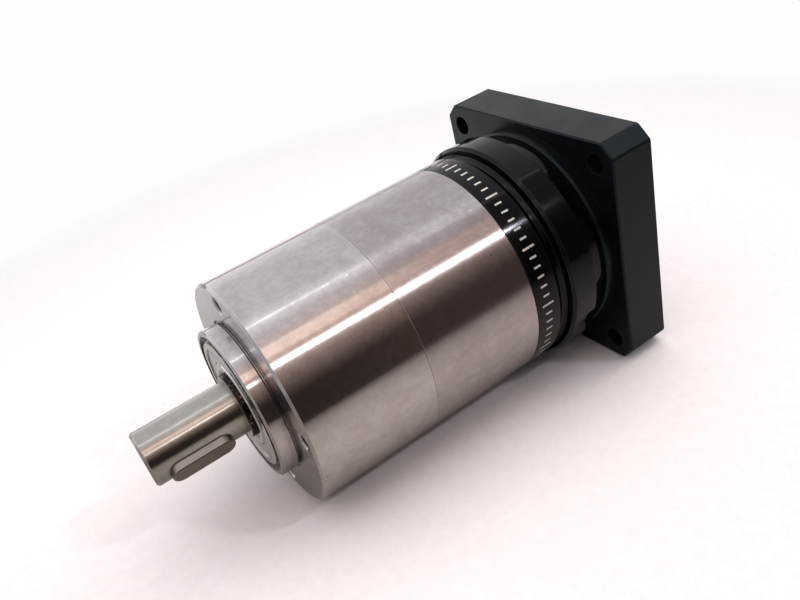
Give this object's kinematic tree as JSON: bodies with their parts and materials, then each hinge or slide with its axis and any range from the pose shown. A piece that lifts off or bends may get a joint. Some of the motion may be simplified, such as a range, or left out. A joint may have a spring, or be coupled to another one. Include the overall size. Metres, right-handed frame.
{
  "type": "planetary gearbox",
  "caption": "Two-stage in-line planetary gearbox, round steel body with keyed output shaft, black input adapter and square motor flange with clamp hub.",
  "frame": {"origin": "centre of the output mounting face on the shaft axis", "axes": "+Y along the gear axis from output to motor, +Z square to the top side of the motor flange"},
  "size_m": [0.065, 0.1353, 0.065],
  "materials": {
    "housing_steel": "fine turned, nickel bright",
    "black_anodised": "satin black anodised",
    "shaft_steel": "ground",
    "key_steel": "drawn",
    "gear_steel": "ground and hardened",
    "carrier_steel": "machined",
    "bearing_steel": "polished",
    "shield_steel": "pressed",
    "cage_steel": "machined",
    "spring_steel": "phosphated",
    "screw_steel": "black oxide",
    "bronze": "machined",
    "plug_plastic": "moulded"
  },
  "bodies": {
    "housing": {"output_housing": "housing_steel", "ring_gear_housing": "housing_steel", "adapter_housing": "black_anodised", "motor_flange": "black_anodised", "access_plug": "plug_plastic", "assembly_screws": "screw_steel", "flange_screws": "screw_steel", "input_retaining_ring": "spring_steel", "front_bearing_outer": "bearing_steel", "front_bearing_shields": "shield_steel", "rear_bearing_outer": "bearing_steel", "input_bearing_outer": "bearing_steel", "input_bearing_shields": "shield_steel"},
    "output": {"output_shaft": "shaft_steel", "shaft_key": "key_steel", "bearing_spacer": "carrier_steel", "front_bearing_inner": "bearing_steel", "rear_bearing_inner": "bearing_steel", "stage2_pins": "bearing_steel", "stage2_washers": "bronze"},
    "front_bearing_cage": {"front_bearing_cage": "cage_steel", "front_bearing_balls": "bearing_steel"},
    "rear_bearing_cage": {"rear_bearing_cage": "cage_steel", "rear_bearing_balls": "bearing_steel"},
    "stage1_carrier": {"stage1_carrier": "carrier_steel", "stage2_sun": "gear_steel", "stage1_pins": "bearing_steel", "stage1_washers": "bronze"},
    "input": {"input_hub": "gear_steel", "clamp_ring": "carrier_steel", "clamp_screw": "screw_steel", "hub_retaining_ring": "spring_steel", "input_bearing_inner": "bearing_steel"},
    "input_bearing_cage": {"input_bearing_cage": "cage_steel", "input_bearing_balls": "bearing_steel"},
    "stage2_planet_1": {"stage2_planet_1": "gear_steel", "stage2_bush_1": "bronze"},
    "stage2_planet_2": {"stage2_planet_2": "gear_steel", "stage2_bush_2": "bronze"},
    "stage2_planet_3": {"stage2_planet_3": "gear_steel", "stage2_bush_3": "bronze"},
    "stage1_planet_1": {"stage1_planet_1": "gear_steel", "stage1_bush_1": "bronze"},
    "stage1_planet_2": {"stage1_planet_2": "gear_steel", "stage1_bush_2": "bronze"},
    "stage1_planet_3": {"stage1_planet_3": "gear_steel", "stage1_bush_3": "bronze"}
  },
  "joints": [
    {"name": "output_spin", "type": "hinge", "parent": "housing", "child": "output", "pos_m": [0, 0.0113, 0], "axis": [0, 1, 0], "continuous": true},
    {"name": "front_bearing_spin", "type": "hinge", "parent": "housing", "child": "front_bearing_cage", "pos_m": [0, 0.0002, 0], "axis": [0, 1, 0], "continuous": true},
    {"name": "rear_bearing_spin", "type": "hinge", "parent": "housing", "child": "rear_bearing_cage", "pos_m": [0, 0.0224, 0], "axis": [0, 1, 0], "continuous": true},
    {"name": "stage1_carrier_spin", "type": "hinge", "parent": "housing", "child": "stage1_carrier", "pos_m": [0, 0.0578, 0], "axis": [0, 1, 0], "continuous": true},
    {"name": "input_spin", "type": "hinge", "parent": "housing", "child": "input", "pos_m": [0, 0.0711, 0], "axis": [0, 1, 0], "continuous": true},
    {"name": "input_bearing_spin", "type": "hinge", "parent": "housing", "child": "input_bearing_cage", "pos_m": [0, 0.0711, 0], "axis": [0, 1, 0], "continuous": true},
    {"name": "stage2_planet_1_spin", "type": "hinge", "parent": "output", "child": "stage2_planet_1", "pos_m": [0, 0.0398, 0.0147], "axis": [0, 1, 0], "continuous": true},
    {"name": "stage2_planet_2_spin", "type": "hinge", "parent": "output", "child": "stage2_planet_2", "pos_m": [-0.01273, 0.0398, -0.00735], "axis": [0, 1, 0], "continuous": true},
    {"name": "stage2_planet_3_spin", "type": "hinge", "parent": "output", "child": "stage2_planet_3", "pos_m": [0.01273, 0.0398, -0.00735], "axis": [0, 1, 0], "continuous": true},
    {"name": "stage1_planet_1_spin", "type": "hinge", "parent": "stage1_carrier", "child": "stage1_planet_1", "pos_m": [0, 0.058, 0.0147], "axis": [0, 1, 0], "continuous": true},
    {"name": "stage1_planet_2_spin", "type": "hinge", "parent": "stage1_carrier", "child": "stage1_planet_2", "pos_m": [-0.01273, 0.058, -0.00735], "axis": [0, 1, 0], "continuous": true},
    {"name": "stage1_planet_3_spin", "type": "hinge", "parent": "stage1_carrier", "child": "stage1_planet_3", "pos_m": [0.01273, 0.058, -0.00735], "axis": [0, 1, 0], "continuous": true}
  ],
  "couplings": [
    {"joint": "front_bearing_spin", "follows": "output_spin", "ratio": 0.40846},
    {"joint": "rear_bearing_spin", "follows": "output_spin", "ratio": 0.40846},
    {"joint": "stage1_carrier_spin", "follows": "output_spin", "ratio": 4},
    {"joint": "input_spin", "follows": "output_spin", "ratio": 16},
    {"joint": "input_bearing_spin", "follows": "output_spin", "ratio": 6.9106},
    {"joint": "stage2_planet_1_spin", "follows": "output_spin", "ratio": -3},
    {"joint": "stage2_planet_2_spin", "follows": "output_spin", "ratio": -3},
    {"joint": "stage2_planet_3_spin", "follows": "output_spin", "ratio": -3},
    {"joint": "stage1_planet_1_spin", "follows": "output_spin", "ratio": -12},
    {"joint": "stage1_planet_2_spin", "follows": "output_spin", "ratio": -12},
    {"joint": "stage1_planet_3_spin", "follows": "output_spin", "ratio": -12}
  ]
}
